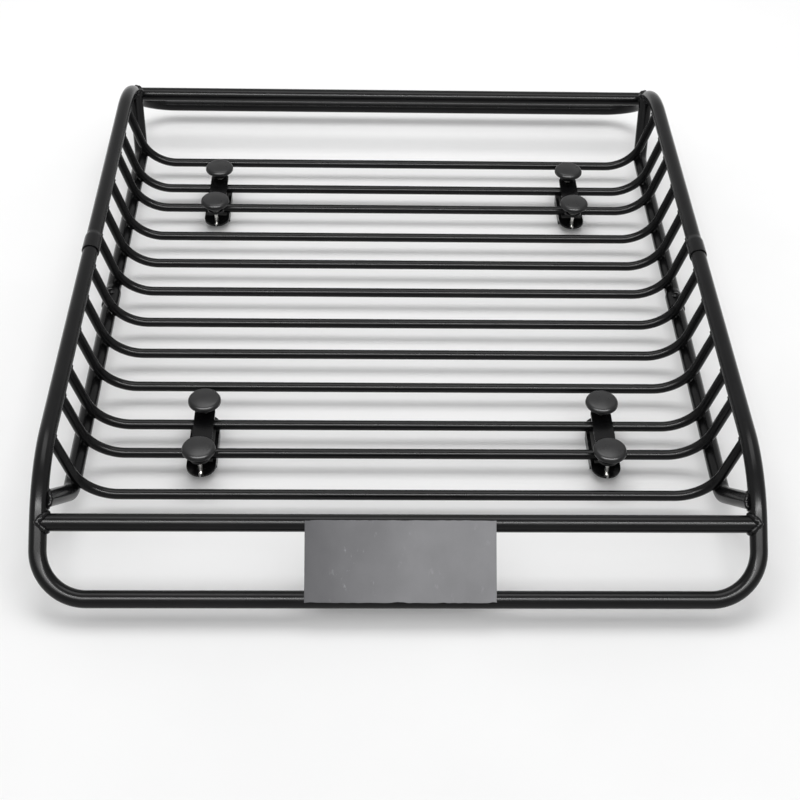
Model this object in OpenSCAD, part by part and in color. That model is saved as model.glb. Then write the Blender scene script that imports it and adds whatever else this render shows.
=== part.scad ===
// Roof cargo basket in two halves, with four knob clamps for a vehicle's roof bars.
// Millimetres. X runs across the vehicle, Y along it with the front towards -Y, and +Z is up.
// The origin is the middle of the surface that the basket stands on, under its clamps.
// Heights inside the modules are measured from the floor bars' centre plane, and lift() adds
// the height of that plane.

/* [Basket] */
// Overall width over the top rails
basket_w = 914.4; // [900:0.1:930]
// Overall length over the end tubes
basket_l = 1168; // [1150:1:1190]
// Top rails' centre line above the floor bars' centre line
rail_h = 112; // [108:1:118]
// Outside diameter of the rails and cross tubes
tube_d = 22.2; // [21.8:0.1:22.8]
// Wall of the rails and cross tubes
tube_wall = 1.6; // [1.2:0.1:2]

/* [End hoops] */
// Slope of the ends below the level, degrees
slope = 42; // [40:0.5:44]
// Bend radius between a top rail and a sloping end
knee_r = 175; // [165:1:180]
// Corner radius at the ends of the end tube
corner_r = 60.8; // [55:0.1:65]
// Distance of the upper cross tube above the end tube, along the slope
cross_gap = 93.8; // [90:0.1:98]

/* [Floor bars] */
// Diameter of a floor bar
bar_d = 14; // [13.5:0.1:14.5]
// Wall of a floor bar
bar_wall = 1.5; // [1.2:0.1:2]
// Bend radius where a floor bar turns up
bar_bend_r = 60.3; // [58:0.1:63]
// Lean of the bars' ends away from upright, degrees
bar_lean = 16.2; // [15:0.1:18]
// Distance of the innermost bar from the middle of the basket
bar_first_y = 37.3; // [37:0.1:40]
// Distance of the second bar
bar_second_y = 108.3; // [100:0.1:116]
// Distance of the third bar
bar_third_y = 180.2; // [174:0.1:186]
// Distance of the outermost bar
bar_last_y = 391.7; // [388:0.1:395]
// Distance between the two bars that a clamp holds
bar_pair_gap = 55.9; // [54:0.1:58]
// Middle of the pair of bars that a clamp holds
bar_pair_y = 286.65; // [284:0.05:289]

/* [Lower side rails] */
// Place of the rail round the bars' bend, degrees up from straight below
low_rail_angle = 51; // [49:1:53]
// Where the rail turns up towards the hoop
strut_y = 399; // [396:1:402]
// Bend radius of that turn
strut_bend_r = 30; // [26:1:34]
// Outward tilt of the raised end, degrees
strut_tilt = 10; // [8:1:12]

/* [Slip joints] */
// Outside diameter of an expanded tube end
sleeve_d = 25.4; // [25.2:0.1:25.8]
// How far the top rails' sleeves reach over the front half
sleeve_reach = 12; // [10:1:14]
// How far the front half's tubes run past the middle, inside the sleeves
insert_reach = 16; // [14:1:18]
// Where a sleeve has narrowed to the plain tube
sleeve_end_y = 29; // [26:1:30]
// Place of the lower rails' joint bolts along the basket
joint_bolt_y = 6; // [4:1:8]

/* [Name plate] */
// Width of the plate
plate_w = 236; // [200:1:260]
// Thickness of the plate
plate_t = 2; // [1.5:0.1:3]
// How far the plate reaches past the two tubes' centre lines
plate_over = 3.5; // [2:0.5:6]

/* [Clamps] */
// Place of the front left clamp across the basket
front_left_x = -267; // [-320:1:-60]
// Place of the front right clamp
front_right_x = 286; // [60:1:320]
// Place of the rear left clamp
rear_left_x = -290; // [-320:1:-60]
// Place of the rear right clamp
rear_right_x = 297; // [60:1:320]
// Half the distance between a clamp's two bolts
bolt_half_gap = 47.5; // [46:0.5:49]
// Diameter of the clamp bolts and joint bolts
bolt_d = 6; // [6:0.1:6.2]
// Width of the plate on the bars
top_plate_w = 28; // [24:1:32]
// Thickness of the plate on the bars
top_plate_t = 4; // [3:0.5:5]
// Width of the bracket under the bars
bracket_w = 40; // [36:1:44]
// Thickness of the bracket's metal
bracket_t = 3; // [2.5:0.5:3.5]
// Thickness of the rubber pad on the bracket
pad_t = 2; // [1.5:0.5:3]
// Diameter of a knob
knob_d = 45.5; // [42:0.5:46]
// Height of a knob
knob_h = 21.5; // [21:0.5:24]

/* [Hidden] */
$fn = 48;
tube_r = tube_d / 2;
tube_bore = tube_r - tube_wall;
bar_r = bar_d / 2;
bar_bore = bar_r - bar_wall;
bolt_r = bolt_d / 2;


// Frame places
rail_x = basket_w / 2 - tube_r;
end_y = basket_l / 2 - tube_r;
rail_end_y = tidy(end_y - cross_gap * cos(slope) - knee_r * sin(slope));
weld_bite = 0.1;
// A bend's wall is this much thicker both ways, and takes in the ends of the straights
bend_skin = 0.1;
bend_lap = 1;

// Floor bars, from the front to the rear
bar_half_y = [bar_first_y, bar_second_y, bar_third_y,
              bar_pair_y - bar_pair_gap / 2, bar_pair_y + bar_pair_gap / 2, bar_last_y];
bar_count = 2 * len(bar_half_y);
bar_y = concat([for (i = [len(bar_half_y) - 1:-1:0]) -bar_half_y[i]], bar_half_y);
bar_end_z = bar_bend_r * (1 - sin(bar_lean));
bar_flat_x = tidy(rail_x - (rail_h - bar_end_z) * tan(bar_lean) - bar_bend_r * cos(bar_lean));
bar_slant_l = tidy((rail_h - bar_end_z) / cos(bar_lean));

// Lower side rails, which lie against the outside of the bars' bends
low_rail_off = bar_bend_r + bar_r + bend_skin + tube_r - weld_bite;
low_x = tidy(bar_flat_x + low_rail_off * sin(low_rail_angle));
low_z = tidy(bar_bend_r - low_rail_off * cos(low_rail_angle));
strut_tangent = strut_bend_r * tan(slope / 2);
strut_start_y = tidy(strut_y - strut_tangent);
strut_dy = cos(slope);
strut_dz = sin(slope) * cos(strut_tilt);
strut_from_y = strut_y - rail_end_y;
strut_from_z = low_z - rail_h + knee_r;
strut_square = strut_dy * strut_dy + strut_dz * strut_dz;
strut_dot = strut_from_y * strut_dy + strut_from_z * strut_dz;
strut_rest = strut_from_y * strut_from_y + strut_from_z * strut_from_z - knee_r * knee_r;
// From the turn to the centre line of the hoop's bend
strut_reach = (sqrt(strut_dot * strut_dot - strut_square * strut_rest) - strut_dot) / strut_square;
strut_l = tidy(strut_reach - strut_tangent);

// Slip joints
sleeve_r = sleeve_d / 2;
sleeve_gap = 0.1;
sleeve_bore = tube_r + sleeve_gap;
taper_y = insert_reach + 0.5;
joint_hole_r = bolt_r + 0.2;
joint_head_r = 6;
joint_head_h = 3.5;
nut_h = 5;
nut_r = 5.8;
hex_key_r = 2.3;
hex_key_deep = 2;

// Name plate
plate_l = cross_gap + 2 * plate_over;

// Clamps, as name, place across and side of the basket
CLAMPS = [["front_left", front_left_x, -1], ["front_right", front_right_x, -1],
          ["rear_left", rear_left_x, 1], ["rear_right", rear_right_x, 1]];
slide_gap = 0.3;
top_plate_z = bar_r + slide_gap;
washer_z = top_plate_z + top_plate_t;
washer_r = 8;
washer_t = 1.4;
bolt_hole_r = bolt_r + 0.3;
knob_z = washer_z + washer_t + slide_gap;
knob_top_z = knob_z + knob_h;
knob_foot_r = 10;
knob_neck_r = 12.5;
knob_neck_h = 9;
knob_rim_h = 11.5;
knob_rim_cut = 3;
knob_shoulder_r = 6;
knob_crown_h = 1.6;
// The crown stands in a shallow step inside the shoulder
knob_crown_step = 0.2;
knob_floor = 4;
cap_r = knob_d / 2;
crown_edge_r = cap_r - knob_shoulder_r;
shoulder_z = knob_h - knob_crown_h - knob_shoulder_r;
crown_rise = knob_crown_h - knob_crown_step;
crown_ball_r = (crown_edge_r * crown_edge_r + crown_rise * crown_rise) / (2 * crown_rise);
insert_r = 5;
insert_l = 10;
thread_gap = 0.05;
knob_bore_r = bolt_r + 0.6;
pad_gap = 2.3;
pad_w = bracket_w - 10;
pad_half_l = 33;
web_top_z = -bar_r - pad_gap - pad_t;
web_z = web_top_z - bracket_t;
flange_h = 14.7;
flange_half_l = 34;
flange_foot_half_l = 30;
foot_z = web_top_z - flange_h;
slot_r = bolt_r + 0.3;
slot_tip_r = 1.2;
bracket_half_l = 59.5;
slot_l = bracket_half_l - bolt_half_gap + 1;
plate_end = 10;
bolt_head_h = 2.5;
bolt_head_r = 5.8;
bolt_tip_h = 2.5;
bolt_foot_z = web_z - bolt_head_h - bolt_tip_h;
bolt_top_z = knob_top_z - knob_floor - 1;

// Colours
STEEL_BLACK = [0.07, 0.07, 0.08];
KNOB_BLACK = [0.1, 0.1, 0.11];
RUBBER_BLACK = [0.05, 0.05, 0.05];
ZINC = [0.75, 0.75, 0.77];
PLATE_GREY = [0.5, 0.5, 0.5];

FRAME_NODES = ["front_hoop", "rear_hoop", "front_upper_cross_tube", "rear_upper_cross_tube",
               "front_left_lower_rail", "front_right_lower_rail",
               "rear_left_lower_rail", "rear_right_lower_rail",
               "name_plate", "joint_bolts", "joint_nuts"];
CLAMP_NODES = ["top_plate", "washers", "front_knob", "rear_knob", "front_knob_insert",
               "rear_knob_insert", "bracket", "pad", "bolts"];
NODES = concat(FRAME_NODES, [for (i = [1:bar_count]) bar_name(i)],
               [for (clamp = CLAMPS) for (part = CLAMP_NODES) str(clamp[0], "_", part)]);
node = "all";

function bar_name(i) = str("crossbar_", i < 10 ? "0" : "", i);
function wanted(name) = node == "all" || node == name;
// A length to the nearest hundredth of a millimetre
function tidy(length) = round(length * 100) / 100;

// Raises the basket until its clamps stand on the ground
module lift() translate([0, 0, -foot_z]) children();

// Both sides of the basket, from the right one
module both_sides() {
  children();
  mirror([1, 0, 0]) children();
}

// The front half's end, or the rear half's when side is 1
module at_end(side) mirror([0, side > 0 ? 1 : 0, 0]) children();

// Points local -Y down the slope of the front end, from where the hoop's bend ends
module on_slope() {
  translate([0, -rail_end_y, rail_h - knee_r])
    rotate([slope, 0, 0])
      translate([0, 0, knee_r]) children();
}

module ring(r, bore) {
  difference() {
    circle(r);
    if (bore > 0) circle(bore);
  }
}

// Straight tube along +Z
module straight(length, r, bore = 0) linear_extrude(length) ring(r, bore);

// Tube bent about the origin in the XY plane, from +X towards +Y
module bent(bend_r, angle, r, bore = 0) {
  rotate_extrude(angle = angle) translate([bend_r, 0]) ring(r + bend_skin, bore - bend_skin);
}

// Straight tube along Y from one place to another, or a solid rod
module along_y(from, to, r, bore = 0) {
  translate([0, from, 0]) rotate([-90, 0, 0]) straight(to - from, r, bore);
}

// Expanded end of the rear half's tube, from its rim to where it is the plain tube
module sleeve(rim_y) {
  rotate([-90, 0, 0])
    rotate_extrude()
      polygon([[sleeve_bore, rim_y], [sleeve_r, rim_y], [sleeve_r, taper_y],
               [tube_r, sleeve_end_y], [tube_bore, sleeve_end_y], [sleeve_bore, taper_y]]);
}

// Bend of the right top rail of the front hoop, solid when it has no bore
module knee(bore = 0) {
  translate([rail_x, -rail_end_y, rail_h - knee_r])
    rotate([180, -90, 0]) bent(knee_r, slope, tube_r, bore);
}

// Right half of the front hoop, with its top rail ending at joint_y
module hoop_side(joint_y) {
  translate([rail_x, 0, rail_h]) along_y(-rail_end_y - bend_lap, joint_y, tube_r, tube_bore);
  knee(tube_bore);
  on_slope() {
    translate([rail_x, corner_r - cross_gap, 0])
      along_y(-bend_lap, cross_gap - corner_r + bend_lap, tube_r, tube_bore);
    translate([rail_x - corner_r, corner_r - cross_gap, 0])
      rotate([0, 0, -90]) bent(corner_r, 90, tube_r, tube_bore);
    translate([0, -cross_gap, 0])
      rotate([0, 90, 0]) straight(rail_x - corner_r + bend_lap, tube_r, tube_bore);
  }
}

module front_hoop() {
  color(STEEL_BLACK) lift() both_sides() hoop_side(insert_reach);
}

module rear_hoop() {
  color(STEEL_BLACK) lift() {
    at_end(1) both_sides() hoop_side(-sleeve_end_y);
    both_sides() translate([rail_x, 0, rail_h]) sleeve(-sleeve_reach);
  }
}

module upper_cross_tube(side) {
  color(STEEL_BLACK) lift() at_end(side) on_slope() difference() {
    translate([-rail_x, 0, 0]) rotate([0, 90, 0]) straight(2 * rail_x, tube_r, tube_bore);
    both_sides() translate([rail_x, 0, 0]) along_y(-tube_d, tube_d, tube_r);
  }
}

// Upright hole for a joint bolt
module joint_hole() {
  translate([0, joint_bolt_y, -sleeve_d]) cylinder(r = joint_hole_r, h = 2 * sleeve_d);
}

// Raised end of a lower side rail, as long as the middle of the hoop
module strut() {
  rotate([0, strut_tilt, 0]) translate([0, -strut_start_y, strut_bend_r]) {
    rotate([180, 90, 0]) bent(strut_bend_r, slope, tube_r, tube_bore);
    rotate([-slope, 0, 0])
      translate([0, 0, -strut_bend_r]) along_y(-strut_l, bend_lap, tube_r, tube_bore);
  }
}

module front_lower_rail() {
  difference() {
    translate([low_x, 0, low_z]) {
      along_y(-strut_start_y - bend_lap, insert_reach, tube_r, tube_bore);
      strut();
    }
    knee();
    translate([low_x, 0, low_z]) joint_hole();
  }
}

module rear_lower_rail() {
  difference() {
    translate([low_x, 0, low_z]) {
      at_end(1) along_y(-strut_start_y - bend_lap, -sleeve_end_y, tube_r, tube_bore);
      at_end(1) strut();
      sleeve(-sleeve_reach - 2);
    }
    at_end(1) knee();
    translate([low_x, 0, low_z]) joint_hole();
  }
}

module lower_rail(across, side) {
  color(STEEL_BLACK) lift() mirror([across < 0 ? 1 : 0, 0, 0]) {
    if (side < 0) front_lower_rail();
    else rear_lower_rail();
  }
}

module crossbar(y) {
  color(STEEL_BLACK) lift() translate([0, y, 0]) difference() {
    union() {
      translate([-bar_flat_x - bend_lap, 0, 0])
        rotate([0, 90, 0]) straight(2 * (bar_flat_x + bend_lap), bar_r, bar_bore);
      both_sides() translate([bar_flat_x, 0, bar_bend_r]) {
        rotate([90, 0, 0])
          rotate([0, 0, -90]) bent(bar_bend_r, 90 - bar_lean, bar_r, bar_bore);
        rotate([0, bar_lean, 0])
          translate([bar_bend_r, 0, -bend_lap])
            straight(bar_slant_l + bend_lap, bar_r, bar_bore);
      }
    }
    both_sides() translate([rail_x, 0, rail_h]) along_y(-bar_d, bar_d, tube_r);
  }
}

module name_plate() {
  color(PLATE_GREY) lift() on_slope()
    translate([-plate_w / 2, plate_over - plate_l, tube_r - weld_bite])
      cube([plate_w, plate_l, plate_t]);
}

module joint_bolts() {
  color(STEEL_BLACK) lift() both_sides() translate([low_x, joint_bolt_y, low_z + sleeve_r]) {
    translate([0, 0, -2 * sleeve_r - nut_h - 2])
      cylinder(r = bolt_r, h = 2 * sleeve_r + nut_h + 2);
    difference() {
      intersection() {
        cylinder(r = joint_head_r, h = joint_head_h);
        translate([0, 0, joint_head_h - 2 * joint_head_r]) sphere(r = 2 * joint_head_r);
      }
      translate([0, 0, joint_head_h - hex_key_deep])
        cylinder(r = hex_key_r, h = hex_key_deep + 1, $fn = 6);
    }
  }
}

// Hexagon nut on +Z, bored for a bolt
module nut(bore_r) {
  difference() {
    cylinder(r = nut_r, h = nut_h, $fn = 6);
    translate([0, 0, -1]) cylinder(r = bore_r, h = nut_h + 2);
  }
}

module joint_nuts() {
  color(STEEL_BLACK) lift() both_sides()
    translate([low_x, joint_bolt_y, low_z - sleeve_r - nut_h]) nut(bolt_r);
}

// Both bolt places of a clamp
module both_bolts() {
  for (end = [-1, 1]) translate([0, end * bolt_half_gap, 0]) children();
}

module clamp_place(clamp) {
  translate([clamp[1], clamp[2] * bar_pair_y, 0]) children();
}

// Outline with round ends, along Y
module stadium(w, half_l) {
  square([w, 2 * half_l - w], center = true);
  for (end = [-1, 1]) translate([0, end * (half_l - w / 2)]) circle(w / 2);
}

module top_plate() {
  translate([0, 0, top_plate_z]) difference() {
    linear_extrude(top_plate_t) stadium(top_plate_w, bolt_half_gap + plate_end);
    both_bolts() translate([0, 0, -1]) cylinder(r = bolt_hole_r, h = top_plate_t + 2);
  }
}

module washers() {
  both_bolts() translate([0, 0, washer_z]) straight(washer_t, washer_r, bolt_hole_r);
}

// Half outline of a knob above its foot, without its bores
module knob_outline() {
  polygon([[0, 0], [knob_foot_r, 0], [knob_neck_r, knob_neck_h],
           [cap_r - knob_rim_cut, knob_rim_h], [cap_r, knob_rim_h + knob_rim_cut / 2],
           [cap_r, shoulder_z], [crown_edge_r, shoulder_z],
           [crown_edge_r, shoulder_z + knob_shoulder_r], [0, shoulder_z + knob_shoulder_r]]);
  translate([crown_edge_r, shoulder_z]) intersection() {
    circle(knob_shoulder_r);
    square(knob_shoulder_r);
  }
  intersection() {
    translate([0, knob_h - crown_ball_r]) circle(crown_ball_r);
    translate([0, shoulder_z + knob_shoulder_r]) square([crown_edge_r, knob_crown_h]);
  }
}

module knob() {
  translate([0, 0, knob_z]) rotate_extrude() difference() {
    knob_outline();
    translate([0, -1]) square([insert_r, insert_l + 1]);
    square([knob_bore_r, knob_h - knob_floor]);
  }
}

module knob_insert() {
  translate([0, 0, knob_z]) straight(insert_l, insert_r, bolt_r + thread_gap);
}

module bracket() {
  difference() {
    translate([0, 0, web_z]) linear_extrude(bracket_t) stadium(bracket_w, bracket_half_l);
    both_bolts() translate([0, 0, web_z - 1]) cylinder(r = slot_r, h = bracket_t + 2);
    for (end = [0, 1]) mirror([0, end, 0]) translate([0, bolt_half_gap, web_z - 1])
      linear_extrude(bracket_t + 2)
        polygon([[-slot_r, 0], [slot_r, 0], [slot_tip_r, slot_l], [-slot_tip_r, slot_l]]);
  }
  for (edge = [-1, 1]) translate([edge * (bracket_w - bracket_t) / 2 - bracket_t / 2, 0, 0])
    rotate([90, 0, 90]) linear_extrude(bracket_t)
      polygon([[-flange_half_l, web_top_z], [-flange_half_l, web_z],
               [-flange_foot_half_l, foot_z], [flange_foot_half_l, foot_z],
               [flange_half_l, web_z], [flange_half_l, web_top_z]]);
}

module pad() {
  translate([-pad_w / 2, -pad_half_l, web_top_z]) cube([pad_w, 2 * pad_half_l, pad_t]);
}

// Bolt with a hexagon collar under the bracket and a pointed foot
module bolt() {
  translate([0, 0, bolt_foot_z + bolt_tip_h])
    cylinder(r = bolt_r, h = bolt_top_z - bolt_foot_z - bolt_tip_h);
  translate([0, 0, bolt_foot_z]) cylinder(r1 = bolt_r / 3, r2 = bolt_r, h = bolt_tip_h);
  translate([0, 0, web_z - bolt_head_h]) cylinder(r = bolt_head_r, h = bolt_head_h, $fn = 6);
}

module clamp_part(clamp, part) {
  lift() clamp_place(clamp) {
    if (part == "top_plate") color(STEEL_BLACK) top_plate();
    if (part == "washers") color(ZINC) washers();
    if (part == "front_knob") color(KNOB_BLACK) translate([0, -bolt_half_gap, 0]) knob();
    if (part == "rear_knob") color(KNOB_BLACK) translate([0, bolt_half_gap, 0]) knob();
    if (part == "front_knob_insert") color(ZINC) translate([0, -bolt_half_gap, 0]) knob_insert();
    if (part == "rear_knob_insert") color(ZINC) translate([0, bolt_half_gap, 0]) knob_insert();
    if (part == "bracket") color(STEEL_BLACK) bracket();
    if (part == "pad") color(RUBBER_BLACK) pad();
    if (part == "bolts") color(ZINC) both_bolts() bolt();
  }
}

if (wanted("front_hoop")) front_hoop();
if (wanted("rear_hoop")) rear_hoop();
if (wanted("front_upper_cross_tube")) upper_cross_tube(-1);
if (wanted("rear_upper_cross_tube")) upper_cross_tube(1);
if (wanted("front_left_lower_rail")) lower_rail(-1, -1);
if (wanted("front_right_lower_rail")) lower_rail(1, -1);
if (wanted("rear_left_lower_rail")) lower_rail(-1, 1);
if (wanted("rear_right_lower_rail")) lower_rail(1, 1);
if (wanted("name_plate")) name_plate();
if (wanted("joint_bolts")) joint_bolts();
if (wanted("joint_nuts")) joint_nuts();
for (i = [1:bar_count]) if (wanted(bar_name(i))) crossbar(bar_y[i - 1]);
for (clamp = CLAMPS, part = CLAMP_NODES)
  if (wanted(str(clamp[0], "_", part))) clamp_part(clamp, part);
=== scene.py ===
"""Looks of the roof cargo basket.

Black powder-coated tube, moulded knobs, zinc bolts and a plain grey plate. In metres, in the CAD frame: X
runs across the vehicle, Y towards the rear end and Z up. Tubes, knobs and the plate are drawn here in place
of their CAD nodes, and the clamps' metalwork keeps its CAD shape with softened edges.
"""

import math
import random

import bmesh
import bpy
from mathutils import Matrix, Vector


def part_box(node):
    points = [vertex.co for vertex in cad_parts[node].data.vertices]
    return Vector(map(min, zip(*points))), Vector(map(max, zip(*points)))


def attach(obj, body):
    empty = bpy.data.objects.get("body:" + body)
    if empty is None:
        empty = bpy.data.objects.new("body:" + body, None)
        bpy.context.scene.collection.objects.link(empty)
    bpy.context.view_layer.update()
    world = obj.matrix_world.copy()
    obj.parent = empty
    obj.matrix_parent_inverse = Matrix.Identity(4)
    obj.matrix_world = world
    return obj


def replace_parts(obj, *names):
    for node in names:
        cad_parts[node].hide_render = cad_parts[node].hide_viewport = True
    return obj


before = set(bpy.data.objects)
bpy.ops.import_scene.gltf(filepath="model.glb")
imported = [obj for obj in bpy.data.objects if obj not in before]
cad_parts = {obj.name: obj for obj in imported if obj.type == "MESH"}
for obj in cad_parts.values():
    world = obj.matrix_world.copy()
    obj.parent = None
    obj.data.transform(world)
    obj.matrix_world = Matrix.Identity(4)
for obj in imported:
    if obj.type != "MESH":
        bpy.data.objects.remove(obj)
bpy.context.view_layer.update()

MM = 0.001
X, Y, Z = Vector((1, 0, 0)), Vector((0, 1, 0)), Vector((0, 0, 1))
# What each half and side multiplies the y and x of the front right one by
HALVES = (("front", 1), ("rear", -1))
SIDES = (("left", -1), ("right", 1))


# ---------------------------------------------------------------- places, from the frame
def middle(node):
    """Middle of a CAD node's box."""
    low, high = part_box(node)
    return (low + high) / 2


# Radii, bends and reaches are the part's own dimensions. A name for one of several pieces means the front
# right one.
HOOP_LOW, HOOP_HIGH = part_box("front_hoop")
TUBE_R = 11.1 * MM
BAR_R = 7 * MM
BEND_SKIN = 0.1 * MM
SLEEVE_R = 12.7 * MM
SLEEVE_BORE = 11.2 * MM
RAIL_X = HOOP_HIGH.x - TUBE_R - BEND_SKIN
RAIL_Z = HOOP_HIGH.z - TUBE_R - BEND_SKIN
END_Y = -HOOP_LOW.y - TUBE_R - BEND_SKIN
SLOPE = math.radians(42)
KNEE_R = 175 * MM
CORNER_R = 60.8 * MM
CROSS_GAP = 93.8 * MM
RAIL_END_Y = END_Y - CROSS_GAP * math.cos(SLOPE) - KNEE_R * math.sin(SLOPE)
INSERT_REACH = 16 * MM
SLEEVE_REACH = 12 * MM
LOW_SLEEVE_REACH = SLEEVE_REACH + 2 * MM
SLEEVE_TAPER_Y = 16.5 * MM
SLEEVE_END_Y = 29 * MM
BAR_NODES = [f"crossbar_{i:02d}" for i in range(1, 13)]
BAR_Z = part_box(BAR_NODES[0])[0].z + BAR_R + BEND_SKIN
BAR_BEND_R = 60.3 * MM
BAR_LEAN = math.radians(16.2)
BAR_RISE = RAIL_Z - BAR_Z - BAR_BEND_R * (1 - math.sin(BAR_LEAN))
BAR_FLAT_X = RAIL_X - BAR_RISE * math.tan(BAR_LEAN) - BAR_BEND_R * math.cos(BAR_LEAN)
LOW_RAIL_ANGLE = math.radians(51)
LOW_RAIL_OFF = BAR_BEND_R + BAR_R + TUBE_R
LOW_X = BAR_FLAT_X + LOW_RAIL_OFF * math.sin(LOW_RAIL_ANGLE)
LOW_Z = BAR_Z + BAR_BEND_R - LOW_RAIL_OFF * math.cos(LOW_RAIL_ANGLE)
STRUT_TILT = math.radians(10)
STRUT_BEND_R = 30 * MM
STRUT_Y = 399 * MM
STRUT_START_Y = STRUT_Y - STRUT_BEND_R * math.tan(SLOPE / 2)
# The front right knee, where the top rail turns down the slope, and where that turn ends
KNEE_CENTRE = Vector((RAIL_X, -RAIL_END_Y, RAIL_Z - KNEE_R))
SLOPE_DIR = Vector((0, -math.cos(SLOPE), -math.sin(SLOPE)))
KNEE_END = KNEE_CENTRE + KNEE_R * Vector((0, -math.sin(SLOPE), math.cos(SLOPE)))
PLATE_HALF_W = middle("name_plate").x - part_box("name_plate")[0].x
PLATE_OVER = 3.5 * MM
PLATE_HALF_L = CROSS_GAP / 2 + PLATE_OVER
PLATE_T = 2 * MM
PLATE_GRID = 3.5 * MM
KNOCK_REACH = 4 * MM
EDGE_WAVE, EDGE_WAVE_REACH = 0.16 * MM, 3 * MM
# Knocks along the plate's long edges: place across as a share of the half width, lower (-1) or upper (1)
# edge, then width, inward push and lift in mm
PLATE_KNOCKS = (
    (-0.03, -1, 4.5, 1.3, 0.5), (0.03, -1, 3.0, 0.7, 0.9), (-0.93, -1, 5.0, 0.9, 0.8),
    (0.97, -1, 3.5, 1.2, 0.6), (-0.97, 1, 4.0, 0.8, 0.4), (0.03, 1, 4.0, 0.5, 0.5),
    (-0.32, 1, 3.5, 0.4, 0.3), (0.95, 1, 5.0, 0.6, 0.5), (0.45, -1, 3.0, 0.4, 0.3))
WELD_BITE = 0.1 * MM
CLAMPS = ("front_left", "front_right", "rear_left", "rear_right")
# Half widths of the weld beads; length, width and height of the spot where a bar lies on a lower rail; and
# the cross tube's radius a hair under the hoop's, so that the two always meet in a line
BAR_WELD, CROSS_WELD, STRUT_WELD = 1.9 * MM, 3.9 * MM, 2.8 * MM
BAR_SPOT = (5.2 * MM, 6.4 * MM, 2.3 * MM)
CROSS_FIT_R = TUBE_R * 0.999


# ---------------------------------------------------------------- mesh building
def arc(centre, start, end_side, radius, angle, steps=20):
    """Points round centre from the unit direction start towards the unit direction end_side."""
    turn = [angle * i / steps for i in range(steps + 1)]
    return [centre + radius * (math.cos(a) * start + math.sin(a) * end_side) for a in turn]


def ring_faces(count, sides, looped=False):
    """Faces between rings of vertices that follow each other, and back to the first when looped."""
    faces = []
    for i in range(count if looped else count - 1):
        n = (i + 1) % count
        for j in range(sides):
            k = (j + 1) % sides
            faces.append((i * sides + j, i * sides + k, n * sides + k, n * sides + j))
    return faces


def cap(faces, ring, sides, outward):
    """Closes an end ring."""
    order = list(range(ring * sides, (ring + 1) * sides))
    faces.append(tuple(order if outward else reversed(order)))


def mesh_object(name, parts, material, body):
    """One object from several (vertices, faces) parts, with the given material for its finish."""
    verts, faces = [], []
    for part_verts, part_faces in parts:
        base = len(verts)
        verts += [tuple(v) for v in part_verts]
        faces += [tuple(base + i for i in face) for face in part_faces]
    mesh = bpy.data.meshes.new(name)
    mesh.from_pydata(verts, [], faces)
    build = bmesh.new()
    build.from_mesh(mesh)
    bmesh.ops.recalc_face_normals(build, faces=build.faces)
    build.to_mesh(mesh)
    build.free()
    mesh.polygons.foreach_set("use_smooth", [True] * len(mesh.polygons))
    mesh.set_sharp_from_angle(angle=math.radians(40))
    obj = bpy.data.objects.new(name, mesh)
    bpy.context.scene.collection.objects.link(obj)
    mesh.materials.append(material)
    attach(obj, body)
    return obj


def closed_rings(verts, count, sides):
    """Part made of count rings that follow each other, with both end rings closed."""
    faces = ring_faces(count, sides)
    cap(faces, 0, sides, False)
    cap(faces, count - 1, sides, True)
    return verts, faces


def tube_part(path, radius=TUBE_R, sides=32):
    """Closed round skin along a path, with one ring at each point."""
    count = len(path)
    tangents = [(path[min(i + 1, count - 1)] - path[max(i - 1, 0)]).normalized() for i in range(count)]
    side = tangents[0].orthogonal().normalized()
    verts = []
    for point, tangent in zip(path, tangents):
        side = (side - side.dot(tangent) * tangent).normalized()
        up = tangent.cross(side)
        for j in range(sides):
            a = 2 * math.pi * j / sides
            verts.append(point + radius * (math.cos(a) * side + math.sin(a) * up))
    return closed_rings(verts, count, sides)


def far_root(a, b, c):
    """Larger root of a x^2 + b x + c, or the place of its lowest point where there is no root."""
    root = b * b - 4 * a * c
    return (-b + math.sqrt(root)) / (2 * a) if root > 0 else -b / (2 * a)


def mirrored(part, x=1, y=1):
    """The part with its x and y multiplied, so that -1 puts it on the other side."""
    verts, faces = part
    return [Vector((v.x * x, v.y * y, v.z)) for v in verts], faces


def weld(pipe_point, pipe_dir, pipe_r, hub_point, hub_dir, hub_r, size, seed):
    """Rippled bead round the line where a pipe meets a hub tube. pipe_dir points away from the hub."""
    rng = random.Random(seed)
    pipe_dir = pipe_dir.normalized()
    hub_dir = hub_dir.normalized()
    side = hub_dir.cross(pipe_dir).normalized()
    along = pipe_dir.cross(side)
    steps, sides = 56, 10
    fine, coarse, uneven = 0.12, 0.08, 0.10
    phase = rng.random() * 6
    spine, radii = [], []
    for i in range(steps):
        a = 2 * math.pi * i / steps
        foot = pipe_point + pipe_r * (math.cos(a) * along + math.sin(a) * side) - hub_point
        across = foot - foot.dot(hub_dir) * hub_dir
        step = pipe_dir - pipe_dir.dot(hub_dir) * hub_dir
        t = far_root(step.dot(step), 2 * across.dot(step), across.dot(across) - hub_r * hub_r)
        spine.append(hub_point + foot + t * pipe_dir)
        ripple = fine * math.sin(11 * a + phase) + coarse * math.sin(4 * a + 2 * phase)
        radii.append(size * (1 + ripple + uneven * rng.uniform(-1, 1)))
    verts = []
    centre = sum(spine, Vector()) / steps
    for i in range(steps):
        tangent = (spine[(i + 1) % steps] - spine[i - 1]).normalized()
        out = (spine[i] - centre).normalized()
        out = (out - out.dot(tangent) * tangent).normalized()
        up = tangent.cross(out)
        for j in range(sides):
            b = 2 * math.pi * j / sides
            verts.append(spine[i] + radii[i] * (math.cos(b) * out + math.sin(b) * up))
    return verts, ring_faces(steps, sides, looped=True)


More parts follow.
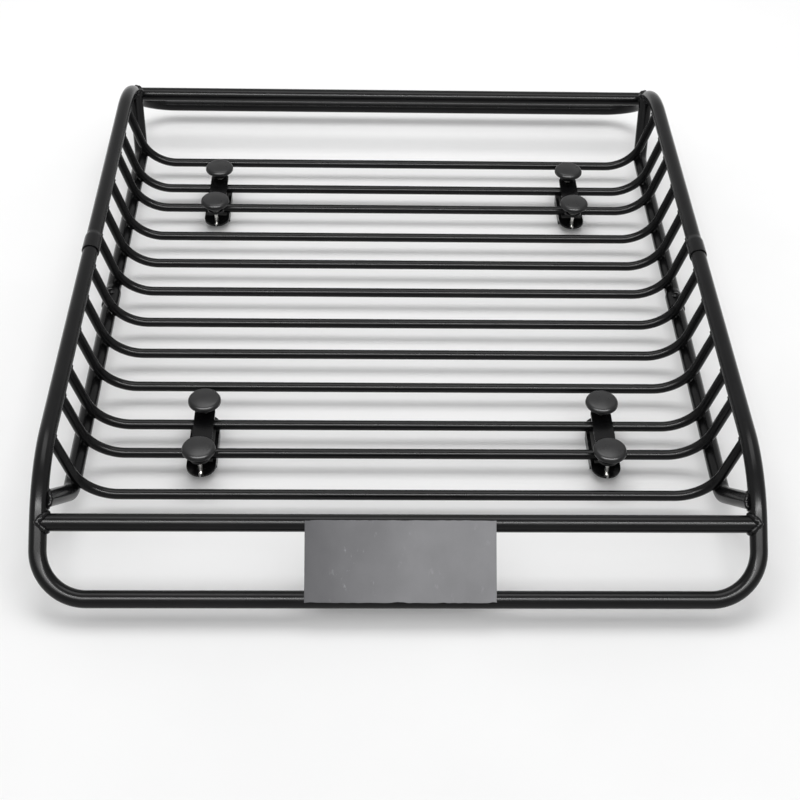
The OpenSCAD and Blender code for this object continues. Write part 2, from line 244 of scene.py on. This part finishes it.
def weld_spot(point, normal, along, length, width, height, seed):
    """Short flat bead where two tubes cross and touch."""
    rng = random.Random(seed)
    across = normal.cross(along).normalized()
    rings, sides = 9, 18
    verts = []
    for i in range(1, rings):
        v = math.pi * i / rings
        for j in range(sides):
            u = 2 * math.pi * j / sides
            wave = 1 + 0.07 * math.sin(5 * u + seed) + 0.04 * rng.uniform(-1, 1)
            verts.append(point + wave * (length * math.sin(v) * math.cos(u) * along
                         + width * math.sin(v) * math.sin(u) * across)
                         + height * math.cos(v) * normal)
    return closed_rings(verts, rings - 1, sides)


# ---------------------------------------------------------------- materials
def new_material(name, colour, roughness, metallic=0.0):
    """Material with its nodes, links and shader, and the shader's own plain values."""
    material = bpy.data.materials.new(name)
    material.use_nodes = True
    nodes, links = material.node_tree.nodes, material.node_tree.links
    shader = nodes["Principled BSDF"]
    shader.inputs["Base Color"].default_value = (*colour, 1)
    shader.inputs["Roughness"].default_value = roughness
    shader.inputs["Metallic"].default_value = metallic
    return material, nodes, links, shader


def noise(nodes, links, scale, detail=3.0, rough=0.5, stretch=(1, 1, 1)):
    """Noise in the object's own coordinates, scale in cycles per metre."""
    coords = nodes.new("ShaderNodeTexCoord")
    mapping = nodes.new("ShaderNodeMapping")
    mapping.inputs["Scale"].default_value = stretch
    texture = nodes.new("ShaderNodeTexNoise")
    texture.inputs["Scale"].default_value = scale
    texture.inputs["Detail"].default_value = detail
    texture.inputs["Roughness"].default_value = rough
    links.new(coords.outputs["Object"], mapping.inputs["Vector"])
    links.new(mapping.outputs["Vector"], texture.inputs["Vector"])
    return texture.outputs["Fac"]


def ramp(nodes, links, fac, low, high, low_at=0.3, high_at=0.7):
    """Colour or grey ramp between two colours."""
    node = nodes.new("ShaderNodeValToRGB")
    node.color_ramp.elements[0].position = low_at
    node.color_ramp.elements[1].position = high_at
    node.color_ramp.elements[0].color = (*low, 1)
    node.color_ramp.elements[1].color = (*high, 1)
    links.new(fac, node.inputs["Fac"])
    return node.outputs["Color"]


def bump(nodes, links, height, distance, strength, under=None):
    """Bumped normal, on top of another one if it is given."""
    node = nodes.new("ShaderNodeBump")
    node.inputs["Distance"].default_value = distance
    node.inputs["Strength"].default_value = strength
    links.new(height, node.inputs["Height"])
    if under is not None:
        links.new(under, node.inputs["Normal"])
    return node.outputs["Normal"]


def mix_colour(nodes, links, fac, a, b):
    """Mix of two colours, each a plain one or a socket."""
    node = nodes.new("ShaderNodeMix")
    node.data_type = "RGBA"
    links.new(fac, node.inputs[0])
    for socket, value in ((node.inputs[6], a), (node.inputs[7], b)):
        if isinstance(value, tuple):
            socket.default_value = (*value, 1)
        else:
            links.new(value, socket)
    return node.outputs[2]


def powder_coat():
    """Satin black powder coat with a faint orange peel and a few scattered lighter specks."""
    material, nodes, links, shader = new_material("powder_coat", (0.004, 0.004, 0.0044), 0.22)
    shader.inputs["Specular IOR Level"].default_value = 0.16
    tone = ramp(nodes, links, noise(nodes, links, 14, 4, 0.55), (0.0028, 0.0028, 0.0031),
                (0.0058, 0.0058, 0.0061), 0.35, 0.75)
    specks = ramp(nodes, links, noise(nodes, links, 420, 5, 0.7), (0, 0, 0), (1, 1, 1), 0.68, 0.74)
    colour = mix_colour(nodes, links, specks, tone, (0.013, 0.013, 0.013))
    links.new(colour, shader.inputs["Base Color"])
    rough = ramp(nodes, links, noise(nodes, links, 34, 3, 0.5), (0.19,) * 3, (0.26,) * 3)
    links.new(rough, shader.inputs["Roughness"])
    peel = bump(nodes, links, noise(nodes, links, 700, 2), 0.00004, 0.12)
    wave = bump(nodes, links, noise(nodes, links, 90, 1), 0.0002, 0.03, peel)
    links.new(wave, shader.inputs["Normal"])
    return material


def knob_plastic():
    """Moulded black plastic with a fine spark-eroded grain."""
    material, nodes, links, shader = new_material("knob_plastic", (0.011, 0.011, 0.0115), 0.4)
    shader.inputs["Specular IOR Level"].default_value = 0.36
    tone = ramp(nodes, links, noise(nodes, links, 70, 4), (0.008, 0.008, 0.0085),
                (0.013, 0.013, 0.0135))
    scuffs = ramp(nodes, links, noise(nodes, links, 200, 6, 0.7, (1, 1, 4)), (0, 0, 0),
                  (1, 1, 1), 0.62, 0.72)
    colour = mix_colour(nodes, links, scuffs, tone, (0.020, 0.020, 0.020))
    links.new(colour, shader.inputs["Base Color"])
    rough = ramp(nodes, links, noise(nodes, links, 110, 3), (0.27,) * 3, (0.34,) * 3)
    links.new(rough, shader.inputs["Roughness"])
    grain = bump(nodes, links, noise(nodes, links, 1300, 2), 0.00004, 0.3)
    links.new(grain, shader.inputs["Normal"])
    return material


def zinc():
    """Bright zinc plate with a mottled passivated sheen and fine turning marks."""
    material, nodes, links, shader = new_material("zinc", (0.62, 0.62, 0.61), 0.3, 1.0)
    tone = ramp(nodes, links, noise(nodes, links, 300, 4), (0.50, 0.50, 0.49),
                (0.70, 0.69, 0.66))
    links.new(tone, shader.inputs["Base Color"])
    rough = ramp(nodes, links, noise(nodes, links, 500, 3), (0.22,) * 3, (0.42,) * 3)
    links.new(rough, shader.inputs["Roughness"])
    marks = bump(nodes, links, noise(nodes, links, 900, 2, 0.5, (1, 1, 6)), 0.00004, 0.4)
    links.new(marks, shader.inputs["Normal"])
    return material


def pad_rubber():
    """Matt black rubber, dusty and faintly pitted."""
    material, nodes, links, shader = new_material("pad_rubber", (0.02, 0.02, 0.02), 0.85)
    tone = ramp(nodes, links, noise(nodes, links, 120, 5), (0.014, 0.014, 0.014),
                (0.032, 0.031, 0.030))
    links.new(tone, shader.inputs["Base Color"])
    pits = bump(nodes, links, noise(nodes, links, 1100, 4), 0.0001, 0.6)
    links.new(pits, shader.inputs["Normal"])
    return material


def plate_metal():
    """Mid grey plate, darker at its left end, with cloudy patches and thin painted highlight lines standing
    in for light on faint folds.
    """
    material, nodes, links, shader = new_material("plate_metal", (0.16, 0.16, 0.165), 0.5)
    shader.inputs["Specular IOR Level"].default_value = 0.08
    patches = noise(nodes, links, 11, 5, 0.55, (1.4, 1, 1))
    dark = ramp(nodes, links, patches, (0.112, 0.112, 0.118), (0.135, 0.135, 0.142))
    light = ramp(nodes, links, patches, (0.218, 0.218, 0.226), (0.260, 0.260, 0.270))
    coords = nodes.new("ShaderNodeTexCoord")
    place = nodes.new("ShaderNodeSeparateXYZ")
    links.new(coords.outputs["Object"], place.inputs["Vector"])
    across = nodes.new("ShaderNodeMapRange")
    across.inputs["From Min"].default_value = -PLATE_HALF_W
    across.inputs["From Max"].default_value = 0.1 * PLATE_HALF_W
    links.new(place.outputs["X"], across.inputs["Value"])
    tone = mix_colour(nodes, links, across.outputs["Result"], dark, light)
    # Painted highlight: thin lighter streaks in the colour stand for light catching faint folds in the
    # plate
    crease_highlights = ramp(nodes, links, noise(nodes, links, 38, 6, 0.72, (2.2, 1, 1)), (0, 0, 0),
                   (1, 1, 1), 0.62, 0.70)
    colour = mix_colour(nodes, links, crease_highlights, tone, (0.285, 0.285, 0.297))
    links.new(colour, shader.inputs["Base Color"])
    rough = ramp(nodes, links, noise(nodes, links, 45, 4), (0.42,) * 3, (0.60,) * 3)
    links.new(rough, shader.inputs["Roughness"])
    dents = bump(nodes, links, noise(nodes, links, 17, 3, 0.5, (1.6, 1, 1)), 0.004, 0.22)
    fine = bump(nodes, links, noise(nodes, links, 600, 2), 0.00004, 0.25, dents)
    links.new(fine, shader.inputs["Normal"])
    return material


POWDER = powder_coat()
PLASTIC = knob_plastic()
ZINC = zinc()
RUBBER = pad_rubber()
PLATE = plate_metal()


def lathe(profile, origin, axis=Z, sides=48, ring=False):
    """Closed surface of revolution. profile is a list of (distance along axis, radius).

    A ring's profile goes round its wall, and any other starts and ends near the axis."""
    side = axis.orthogonal().normalized()
    up = axis.cross(side)
    verts = []
    for along, radius in profile:
        for j in range(sides):
            a = 2 * math.pi * j / sides
            verts.append(origin + along * axis + radius * (math.cos(a) * side + math.sin(a) * up))
    if ring:
        return verts, ring_faces(len(profile), sides, looped=True)
    return closed_rings(verts, len(profile), sides)


# ---------------------------------------------------------------- tubes
def sleeve_profile(rim):
    """Expanded tube end with a rolled rim, from inside its mouth to the plain tube."""
    lip = 0.45 * MM
    profile = [(rim + 6 * MM, SLEEVE_BORE), (rim + lip, SLEEVE_BORE),
               (rim + 0.3 * lip, SLEEVE_BORE + 0.3 * lip), (rim, SLEEVE_BORE + lip)]
    profile += [(rim, SLEEVE_R - lip), (rim + 0.3 * lip, SLEEVE_R - 0.3 * lip),
                (rim + lip, SLEEVE_R), (rim + 3 * lip, SLEEVE_R)]
    steps = 8
    for i in range(steps + 1):
        s = i / steps
        ease = s * s * (3 - 2 * s)
        profile.append((SLEEVE_TAPER_Y + s * (SLEEVE_END_Y - SLEEVE_TAPER_Y),
                        SLEEVE_R + ease * (TUBE_R - SLEEVE_R)))
    return profile


def hoop_path(joint_y):
    """Centre line of the front hoop, from its right joint round to its left one."""
    half = [Vector((RAIL_X, joint_y, RAIL_Z))]
    half += arc(KNEE_CENTRE, Z, -Y, KNEE_R, SLOPE, 28)
    corner = KNEE_END + (CROSS_GAP - CORNER_R) * SLOPE_DIR - CORNER_R * X
    half += arc(corner, X, SLOPE_DIR, CORNER_R, math.pi / 2, 28)
    return half + [Vector((-p.x, p.y, p.z)) for p in reversed(half)]


def strut_points():
    """Corner, end and direction of the raised end of the front right lower rail."""
    rise = Vector((math.sin(STRUT_TILT), 0, math.cos(STRUT_TILT)))
    start = Vector((LOW_X, -STRUT_START_Y, LOW_Z))
    bend = arc(start + STRUT_BEND_R * rise, -rise, -Y, STRUT_BEND_R, SLOPE, 14)
    direction = -math.cos(SLOPE) * Y + math.sin(SLOPE) * rise
    offset = bend[-1] - KNEE_CENTRE
    flat_dir = Vector((0, direction.y, direction.z))
    reach = far_root(flat_dir.dot(flat_dir), 2 * (offset.y * flat_dir.y + offset.z * flat_dir.z),
                     offset.y ** 2 + offset.z ** 2 - KNEE_R ** 2)
    return bend, bend[-1] + reach * direction, direction


def build_hoops():
    """Both hoops. The rear one's rails end in sleeves over the front one's."""
    front = tube_part(hoop_path(INSERT_REACH))
    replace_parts(mesh_object("front_hoop_tube", [front], POWDER, "basket"), "front_hoop")
    rear = [mirrored(tube_part(hoop_path(-SLEEVE_END_Y)), y=-1)]
    for _, mirror_x in SIDES:
        mouth = Vector((mirror_x * RAIL_X, 0, RAIL_Z))
        rear.append(lathe(sleeve_profile(-SLEEVE_REACH), mouth, Y, ring=True))
    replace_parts(mesh_object("rear_hoop_tube", rear, POWDER, "basket"), "rear_hoop")


def build_cross_tubes():
    part = tube_part([KNEE_END - 2 * RAIL_X * X, KNEE_END])
    for half, mirror_y in HALVES:
        obj = mesh_object(f"{half}_upper_cross_skin", [mirrored(part, y=mirror_y)], POWDER, "basket")
        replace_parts(obj, f"{half}_upper_cross_tube")


def build_lower_rails():
    """Lower rails with their raised ends. The rear ones end in sleeves over the front ones."""
    bend, end, _ = strut_points()
    for half, mirror_y in HALVES:
        joint_y = INSERT_REACH if half == "front" else -SLEEVE_END_Y
        part = tube_part([Vector((LOW_X, joint_y, LOW_Z))] + bend + [end])
        for side, mirror_x in SIDES:
            parts = [mirrored(part, mirror_x, mirror_y)]
            if half == "rear":
                mouth = Vector((mirror_x * LOW_X, 0, LOW_Z))
                parts.append(lathe(sleeve_profile(-LOW_SLEEVE_REACH), mouth, Y, ring=True))
            obj = mesh_object(f"{half}_{side}_lower_skin", parts, POWDER, "basket")
            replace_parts(obj, f"{half}_{side}_lower_rail")


def bar_path(y):
    """Centre line of the floor bar at y, from its right end to its left one."""
    top = Vector((RAIL_X, y, RAIL_Z))
    centre = Vector((BAR_FLAT_X, y, BAR_Z + BAR_BEND_R))
    half = [top] + list(reversed(arc(centre, -Z, X, BAR_BEND_R, math.pi / 2 - BAR_LEAN, 20)))
    return half + [Vector((-p.x, p.y, p.z)) for p in reversed(half)]


def build_bars():
    for node in BAR_NODES:
        part = tube_part(bar_path(middle(node).y), BAR_R, 24)
        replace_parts(mesh_object(f"{node}_skin", [part], POWDER, "basket"), node)


def build_welds():
    """Beads where the bars, cross tubes and struts meet the rails and hoops."""
    lean = Vector((math.sin(BAR_LEAN), 0, math.cos(BAR_LEAN)))
    touch = Vector((math.sin(LOW_RAIL_ANGLE), 0, -math.cos(LOW_RAIL_ANGLE)))
    for node in BAR_NODES:
        y = middle(node).y
        seed = int(node[-2:])
        rail = Vector((RAIL_X, y, RAIL_Z))
        point = Vector((BAR_FLAT_X, y, BAR_Z + BAR_BEND_R)) + (BAR_BEND_R + BAR_R) * touch
        for side, mirror_x in SIDES:
            parts = [weld(rail, -lean, BAR_R, rail, Y, TUBE_R, BAR_WELD, seed * 3 + mirror_x),
                     weld_spot(point, touch, Y, *BAR_SPOT, seed + mirror_x)]
            parts = [mirrored(part, mirror_x) for part in parts]
            mesh_object(f"{node}_{side}_weld", parts, POWDER, "basket")
    _, strut_end, strut_dir = strut_points()
    radial = strut_end - KNEE_CENTRE
    radial.x = 0
    knee_dir = radial.normalized().cross(X)
    leg = Vector((RAIL_X, KNEE_END.y, KNEE_END.z))
    knee = Vector((RAIL_X, strut_end.y, strut_end.z))
    for half, mirror_y in HALVES:
        parts = [weld(leg, -X, CROSS_FIT_R, leg, SLOPE_DIR, TUBE_R, CROSS_WELD, 5 + mirror_y),
                 weld(strut_end, -strut_dir, TUBE_R, knee, knee_dir, TUBE_R, STRUT_WELD, 9 + mirror_y)]
        for side, mirror_x in SIDES:
            placed = [mirrored(part, mirror_x, mirror_y) for part in parts]
            mesh_object(f"{half}_{side}_hoop_weld", placed, POWDER, "basket")


# ---------------------------------------------------------------- plate, bolts and clamps
def finish_node(node, material, edge=0.0, segments=3):
    """CAD node with its material and softened edges."""
    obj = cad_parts[node]
    obj.data.materials.clear()
    obj.data.materials.append(material)
    if edge:
        bevel = obj.modifiers.new("edges", "BEVEL")
        bevel.width = edge
        bevel.segments = segments
        bevel.limit_method = "ANGLE"
        bevel.angle_limit = math.radians(40)
        bevel.harden_normals = True


def plate_steps(half, edge):
    """Places of grid lines from -half to half, closer together at the two edges."""
    near = [0, 0.2 * edge, 0.5 * edge, edge, 3 * edge]
    span = half - near[-1]
    count = round(span * 2 / PLATE_GRID)
    inner = [span * (2 * i / count - 1) for i in range(1, count)]
    return [d - half for d in near] + inner + [half - d for d in reversed(near)]


def edge_knock(x, u):
    """How far the plate's edge is pushed up the slope and lifted off it near (x, u)."""
    push = lift = 0
    for place, side, width, inward, rise in PLATE_KNOCKS:
        near = math.exp(-((x - place * PLATE_HALF_W) / (width * MM)) ** 2
                        - (PLATE_HALF_L - side * u) / KNOCK_REACH)
        push -= side * inward * MM * near
        lift += rise * MM * near
    wave = EDGE_WAVE * math.sin(x * 310 + 2 * math.sin(x * 97))
    fade = math.exp(-(PLATE_HALF_L - abs(u)) / EDGE_WAVE_REACH)
    return push + wave * fade, lift


def build_plate():
    """Plate with rounded edges, shallow dents and a few knocks along its edges."""
    rng = random.Random(4)
    edge = 0.6 * MM
    deepest = 0.9 * MM
    up = -SLOPE_DIR
    out = X.cross(up)
    centre = Vector((0, KNEE_END.y, KNEE_END.z)) + CROSS_GAP / 2 * SLOPE_DIR
    base = TUBE_R - WELD_BITE
    dents = [(rng.uniform(-1, 1) * PLATE_HALF_W, rng.uniform(-1, 1) * PLATE_HALF_L,
              rng.uniform(7, 22) * MM, rng.uniform(0.10, 0.40) * MM) for _ in range(22)]
    across, along = plate_steps(PLATE_HALF_W, edge), plate_steps(PLATE_HALF_L, edge)
    top, under = [], []
    for u in along:
        for x in across:
            inset = min(PLATE_HALF_W - abs(x), PLATE_HALF_L - abs(u))
            sink = edge - math.sqrt(edge ** 2 - (edge - inset) ** 2) if inset < edge else 0
            for dent_x, dent_u, size, depth in dents:
                sink += depth * math.exp(-((x - dent_x) ** 2 + (u - dent_u) ** 2) / size ** 2)
            push, lift = edge_knock(x, u)
            spot = centre + x * X + (u + push) * up
            top.append(spot + (base + PLATE_T - min(sink, deepest) + lift) * out)
            under.append(spot + (base + 0.5 * lift) * out)
    rows, cols = len(along), len(across)
    faces = []
    shift = rows * cols
    for j in range(rows - 1):
        for i in range(cols - 1):
            a, b = j * cols + i, (j + 1) * cols + i
            faces.append((a, a + 1, b + 1, b))
            faces.append((a + shift, b + shift, b + 1 + shift, a + 1 + shift))
    rim = list(range(cols)) + [j * cols + cols - 1 for j in range(1, rows)]
    rim += [(rows - 1) * cols + i for i in reversed(range(cols - 1))]
    rim += [j * cols for j in reversed(range(1, rows - 1))]
    for k, a in enumerate(rim):
        b = rim[(k + 1) % len(rim)]
        faces.append((a, a + shift, b + shift, b))
    skin = mesh_object("name_plate_skin", [(top + under, faces)], PLATE, "basket")
    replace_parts(skin, "name_plate")


def knob_profile(height, cap_r):
    """Closed outline of a mushroom knob with its bore, from its foot up."""
    foot_r, neck_r, insert_r, bore_r = 10 * MM, 12.5 * MM, 5 * MM, 3.6 * MM
    neck_z, rim_z = 9 * MM, 11.5 * MM
    insert_l, roof = 10 * MM, 4 * MM
    shoulder, crown, lip, edge = 6 * MM, 1.6 * MM, 1.6 * MM, 0.6 * MM
    shoulder_z = height - crown - shoulder
    shoulder_share = 0.88
    tip_r = 0.01 * MM
    flare_steps, lip_steps, shoulder_steps, crown_steps = 12, 5, 10, 12
    outline = [(height - roof, tip_r), (height - roof, bore_r), (insert_l, bore_r),
               (insert_l, insert_r), (0, insert_r)]
    outline += [(0, foot_r - edge), (0.3 * edge, foot_r - 0.3 * edge), (edge, foot_r)]
    for i in range(flare_steps + 1):
        a = math.pi / 2 * i / flare_steps
        outline.append((neck_z + (rim_z - neck_z) * math.sin(a),
                        neck_r + (cap_r - lip - neck_r) * (1 - math.cos(a))))
    for i in range(1, lip_steps + 1):
        a = math.pi / 2 * i / lip_steps
        outline.append((rim_z + lip * (1 - math.cos(a)), cap_r - lip + lip * math.sin(a)))
    for i in range(shoulder_steps + 1):
        a = math.pi / 2 * i / shoulder_steps * shoulder_share
        outline.append((shoulder_z + shoulder * math.sin(a),
                        cap_r - shoulder + shoulder * math.cos(a)))
    edge_z, edge_r = outline[-1]
    for i in range(1, crown_steps + 1):
        s = 1 - i / crown_steps
        outline.append((height - (height - edge_z) * s * s, max(edge_r * s, tip_r)))
    return outline


def build_knobs():
    """Knobs as tall and as wide as their CAD nodes, with a turned zinc insert in each."""
    for clamp in CLAMPS:
        for end, tag in (("front", "a"), ("rear", "b")):
            node = f"{clamp}_{end}_knob"
            low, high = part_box(node)
            foot = Vector(((low.x + high.x) / 2, (low.y + high.y) / 2, low.z))
            outline = knob_profile(high.z - low.z, (high.x - low.x) / 2)
            obj = mesh_object(f"{node}_skin", [lathe(outline, foot, Z, 64)], PLASTIC,
                              f"{clamp}_knob_{tag}")
            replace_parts(obj, node)
            finish_node(f"{node}_insert", ZINC)


def build_metalwork():
    finish_node("joint_bolts", POWDER, 0.3 * MM, 2)
    finish_node("joint_nuts", POWDER, 0.3 * MM, 2)
    for clamp in CLAMPS:
        finish_node(f"{clamp}_top_plate", POWDER, 0.7 * MM)
        finish_node(f"{clamp}_bracket", POWDER, 0.7 * MM)
        finish_node(f"{clamp}_pad", RUBBER, 0.8 * MM)
        finish_node(f"{clamp}_washers", ZINC, 0.2 * MM, 2)
        finish_node(f"{clamp}_bolts", ZINC, 0.3 * MM, 2)


# ---------------------------------------------------------------- stage
FLOOR_HALF = 60
WORLD_STRENGTH = 0.8
# Above the front end and looking down the basket, at the photograph's angle
CAMERA_EYE = Vector((-0.0463, -1.7071, 1.3904 + BAR_Z))
CAMERA_FORWARD = Vector((0.02521, 0.73334, -0.67939)).normalized()
CAMERA_RIGHT = Vector((0.99967, -0.01519, 0.02071))
CAMERA_LENS = 64.8


def build_stage():
    """Pale floor and an even white world."""
    mesh = bpy.data.meshes.new("floor")
    corners = [(x * FLOOR_HALF, y * FLOOR_HALF, 0) for x, y in ((-1, -1), (1, -1), (1, 1), (-1, 1))]
    mesh.from_pydata(corners, [], [(0, 1, 2, 3)])
    floor = bpy.data.objects.new("floor", mesh)
    bpy.context.scene.collection.objects.link(floor)
    material, nodes, links, shader = new_material("pale_floor", (0.88, 0.88, 0.88), 0.9)
    tone = ramp(nodes, links, noise(nodes, links, 3, 3), (0.87, 0.87, 0.87), (0.90, 0.90, 0.90))
    links.new(tone, shader.inputs["Base Color"])
    mesh.materials.append(material)
    world = bpy.data.worlds.new("studio")
    world.use_nodes = True
    background = world.node_tree.nodes["Background"]
    background.inputs["Color"].default_value = (1, 1, 1, 1)
    background.inputs["Strength"].default_value = WORLD_STRENGTH
    bpy.context.scene.world = world
    bpy.context.scene.view_settings.view_transform = "Standard"


def softbox(name, place_at, target, width, depth, power):
    """Rectangular area light at a place, facing the target."""
    data = bpy.data.lights.new(name, "AREA")
    data.shape = "RECTANGLE"
    data.size = width
    data.size_y = depth
    data.energy = power
    light = bpy.data.objects.new(name, data)
    light.location = place_at
    light.rotation_euler = (Vector(target) - Vector(place_at)).to_track_quat("-Z", "Y").to_euler()
    bpy.context.scene.collection.objects.link(light)
    return light


def build_lights():
    """Soft light from above, and two that only draw the long highlights on the tubes."""
    softbox("overhead", (0, 0.7, 2.8), (0, 0, 0), 2.2, 1.4, 34)
    strip = softbox("strip", (0, -1.72, 2.46), (0, 0, 0), 4, 0.14, 110)
    glow = softbox("glow", (0, -1.92, 2.02), (0, -0.3, 0.1), 4, 0.7, 70)
    strip.visible_diffuse = glow.visible_diffuse = False


def build_camera():
    data = bpy.data.cameras.new("camera")
    data.sensor_width = 36
    data.lens = CAMERA_LENS
    data.clip_end = 100
    camera = bpy.data.objects.new("camera", data)
    right = (CAMERA_RIGHT - CAMERA_RIGHT.dot(CAMERA_FORWARD) * CAMERA_FORWARD).normalized()
    turn = Matrix((right, right.cross(CAMERA_FORWARD), -CAMERA_FORWARD)).transposed()
    camera.matrix_world = Matrix.Translation(CAMERA_EYE) @ turn.to_4x4()
    bpy.context.scene.collection.objects.link(camera)
    bpy.context.scene.camera = camera


build_hoops()
build_cross_tubes()
build_lower_rails()
build_bars()
build_welds()
build_plate()
build_knobs()
build_metalwork()
build_stage()
build_lights()
build_camera()
